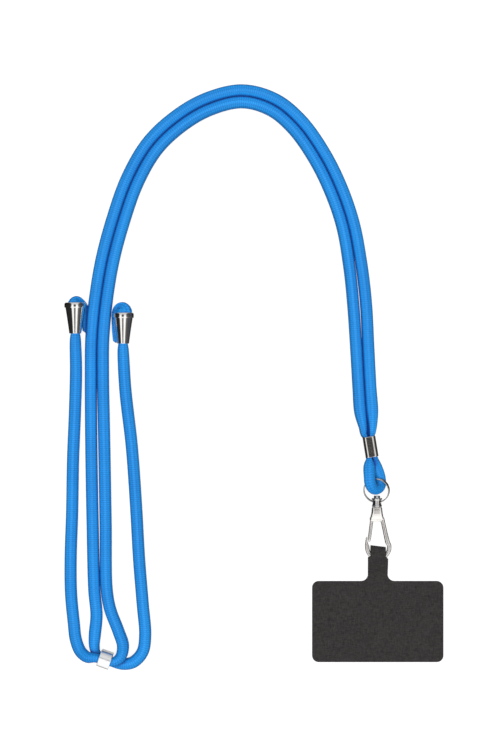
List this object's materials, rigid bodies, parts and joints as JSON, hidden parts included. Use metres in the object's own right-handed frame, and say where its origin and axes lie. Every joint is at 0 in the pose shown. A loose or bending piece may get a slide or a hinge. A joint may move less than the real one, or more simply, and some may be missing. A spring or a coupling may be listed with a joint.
{
  "type": "lanyard",
  "caption": "Neck lanyard of doubled braided cord with bell-shaped cord ends, a sliding keeper, an oval crimp, a split ring, a swivel hook and a fabric tab that slips behind a phone.",
  "frame": {"origin": "centre of the tab's back face, on the surface the lanyard lies on", "axes": "+Z out of the surface through the tab's front, +Y from the tab along its neck towards the hook and cord, +X to the right"},
  "size_m": [0.1729, 0.2669, 0.0115],
  "materials": {
    "braid": "fine braided polyester, slight sheen",
    "plated_metal": "polished nickel plate",
    "cast_metal": "nickel plate on a die casting, fine wear along the edges",
    "spring_steel": "drawn wire",
    "tab_cloth": "coated charcoal weave, matte",
    "tab_film": "matte non-slip film"
  },
  "bodies": {
    "cordset": {"cord": "braid", "ring_crimp": "plated_metal", "left_cone": "plated_metal", "right_cone": "plated_metal"},
    "keeper": {"keeper_band": "plated_metal"},
    "ring": {"split_ring": "plated_metal"},
    "eye": {"swivel_eye": "cast_metal"},
    "hook": {"hook_body": "cast_metal", "gate_pin": "spring_steel", "gate_spring": "spring_steel"},
    "gate": {"gate": "cast_metal"},
    "tab": {"tab_fabric": "tab_cloth", "tab_backing": "tab_film"}
  },
  "joints": [
    {"name": "keeper_slide", "type": "slide", "parent": "cordset", "child": "keeper", "axis": [0.9415, -0.3371, 0], "range_m": [-0.0008, 0.0008]},
    {"name": "ring_turn", "type": "hinge", "parent": "cordset", "child": "ring", "pos_m": [-0.0008, 0.06015, 0.00413], "axis": [-0.1999, -0.2756, 0.9403], "continuous": true},
    {"name": "eye_swing", "type": "hinge", "parent": "cordset", "child": "eye", "pos_m": [-0.0005, 0.05486, 0.00265], "axis": [0.9781, 0, 0.2079], "range_deg": [-75, 75]},
    {"name": "hook_swivel", "type": "hinge", "parent": "eye", "child": "hook", "pos_m": [-0.0005, 0.051, 0.00265], "axis": [0, 1, 0], "continuous": true},
    {"name": "gate_open", "type": "hinge", "parent": "hook", "child": "gate", "pos_m": [-0.0028, 0.0471, 0.00265], "axis": [0, 0, 1], "range_deg": [0, 22], "stiffness_Nm_per_rad": 0.01, "springref_deg": -17.19},
    {"name": "tab_swing", "type": "hinge", "parent": "hook", "child": "tab", "pos_m": [0, 0.0299, 0.00265], "axis": [1, 0, 0], "range_deg": [-25, 25]}
  ]
}
